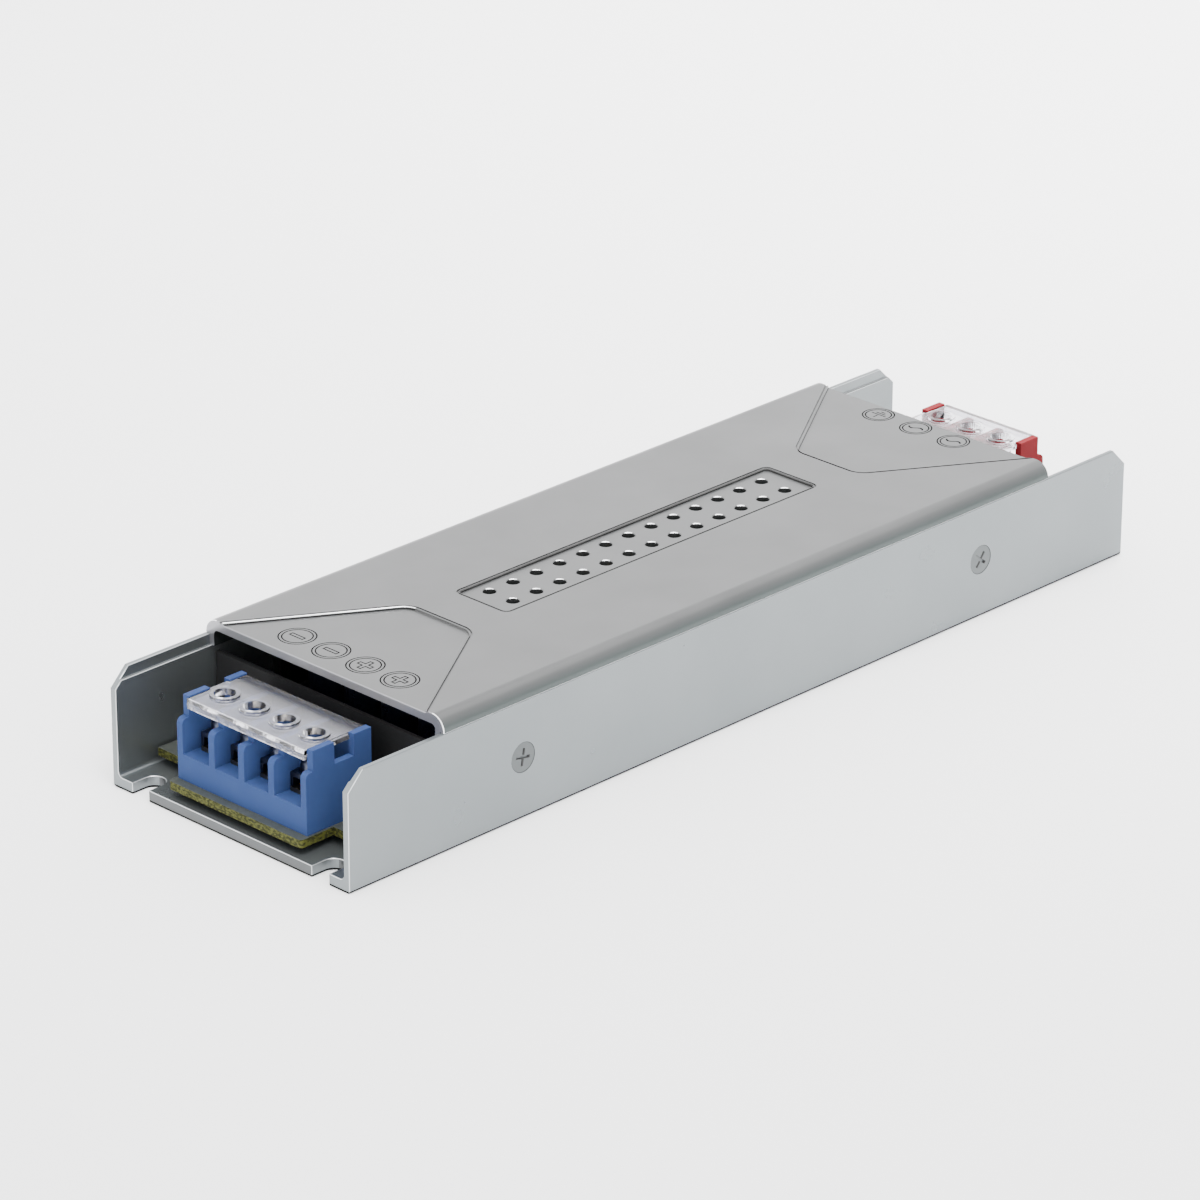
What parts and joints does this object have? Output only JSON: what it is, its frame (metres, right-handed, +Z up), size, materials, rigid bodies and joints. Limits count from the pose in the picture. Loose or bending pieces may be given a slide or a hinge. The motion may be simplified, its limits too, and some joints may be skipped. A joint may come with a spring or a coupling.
{
  "type": "enclosed power supply",
  "caption": "Slim metal-cased power supply: folded channel, vented recessed cover, screw terminal blocks with clear covers in open end bays.",
  "frame": {"origin": "middle of the channel's underside, at the height of the surface it stands on", "axes": "+X along the case from the output end (blue block) to the input end (red block), +Z up out of the top cover, Y across the case"},
  "size_m": [0.204, 0.0606, 0.0256],
  "materials": {
    "case_metal": "satin anodised",
    "cover_metal": "satin anodised",
    "case_screw": "zinc plated",
    "film": "matt black film",
    "plated_steel": "zinc plated",
    "board": "epoxy glass laminate with a grey solder mask",
    "blue_plastic": "moulded, satin",
    "red_plastic": "moulded, satin",
    "contact_brass": "tinned",
    "clear_plastic": "clear, polished",
    "yellow_box": "moulded box",
    "black_plastic": "moulded",
    "disc_coating": "dipped coating",
    "ferrite": "sintered ferrite",
    "copper_wire": "enamelled copper",
    "capacitor_sleeve": "shrunk sleeve",
    "winding_tape": "polyester tape",
    "thermal_pad": "silicone sheet",
    "terminal_screw": "zinc plated, dulled",
    "terminal_clamp": "zinc plated, dulled"
  },
  "bodies": {
    "case": {"base_channel": "case_metal", "top_cover": "cover_metal", "case_screws": "case_screw", "insulating_film": "film", "board_spacers": "plated_steel", "board_screws": "plated_steel", "circuit_board": "board", "output_terminal_block": "blue_plastic", "output_contacts": "contact_brass", "input_terminal_block": "red_plastic", "input_contacts": "contact_brass", "output_barrier": "film", "input_barrier": "film", "line_capacitor": "yellow_box", "fuse": "black_plastic", "varistor": "disc_coating", "bridge_rectifier": "black_plastic", "choke_core": "ferrite", "choke_windings": "copper_wire", "bulk_capacitors": "capacitor_sleeve", "transformer_core": "ferrite", "transformer_bobbin": "black_plastic", "transformer_winding": "winding_tape", "controller_chip": "black_plastic", "optical_coupler": "black_plastic", "safety_capacitor": "disc_coating", "inductor_core": "ferrite", "inductor_winding": "copper_wire", "output_capacitors": "capacitor_sleeve", "switching_transistor": "black_plastic", "output_rectifier": "black_plastic", "thermal_pads": "thermal_pad", "spring_clips": "plated_steel"},
    "output_cover_body": {"output_terminal_cover": "clear_plastic"},
    "output_clamp_screw_1": {"output_screw_1": "terminal_screw", "output_clamp_1": "terminal_clamp"},
    "output_clamp_screw_2": {"output_screw_2": "terminal_screw", "output_clamp_2": "terminal_clamp"},
    "output_clamp_screw_3": {"output_screw_3": "terminal_screw", "output_clamp_3": "terminal_clamp"},
    "output_clamp_screw_4": {"output_screw_4": "terminal_screw", "output_clamp_4": "terminal_clamp"},
    "input_cover_body": {"input_terminal_cover": "clear_plastic"},
    "input_clamp_screw_1": {"input_screw_1": "terminal_screw", "input_clamp_1": "terminal_clamp"},
    "input_clamp_screw_2": {"input_screw_2": "terminal_screw", "input_clamp_2": "terminal_clamp"},
    "input_clamp_screw_3": {"input_screw_3": "terminal_screw", "input_clamp_3": "terminal_clamp"}
  },
  "joints": [
    {"name": "output_cover_lift", "type": "slide", "parent": "case", "child": "output_cover_body", "axis": [0, 0, 1], "range_m": [0, 0.012]},
    {"name": "output_screw_lift_1", "type": "slide", "parent": "case", "child": "output_clamp_screw_1", "axis": [0, 0, 1], "range_m": [0, 0.0025]},
    {"name": "output_screw_lift_2", "type": "slide", "parent": "case", "child": "output_clamp_screw_2", "axis": [0, 0, 1], "range_m": [0, 0.0025]},
    {"name": "output_screw_lift_3", "type": "slide", "parent": "case", "child": "output_clamp_screw_3", "axis": [0, 0, 1], "range_m": [0, 0.0025]},
    {"name": "output_screw_lift_4", "type": "slide", "parent": "case", "child": "output_clamp_screw_4", "axis": [0, 0, 1], "range_m": [0, 0.0025]},
    {"name": "input_cover_lift", "type": "slide", "parent": "case", "child": "input_cover_body", "axis": [0, 0, 1], "range_m": [0, 0.012]},
    {"name": "input_screw_lift_1", "type": "slide", "parent": "case", "child": "input_clamp_screw_1", "axis": [0, 0, 1], "range_m": [0, 0.0025]},
    {"name": "input_screw_lift_2", "type": "slide", "parent": "case", "child": "input_clamp_screw_2", "axis": [0, 0, 1], "range_m": [0, 0.0025]},
    {"name": "input_screw_lift_3", "type": "slide", "parent": "case", "child": "input_clamp_screw_3", "axis": [0, 0, 1], "range_m": [0, 0.0025]}
  ]
}
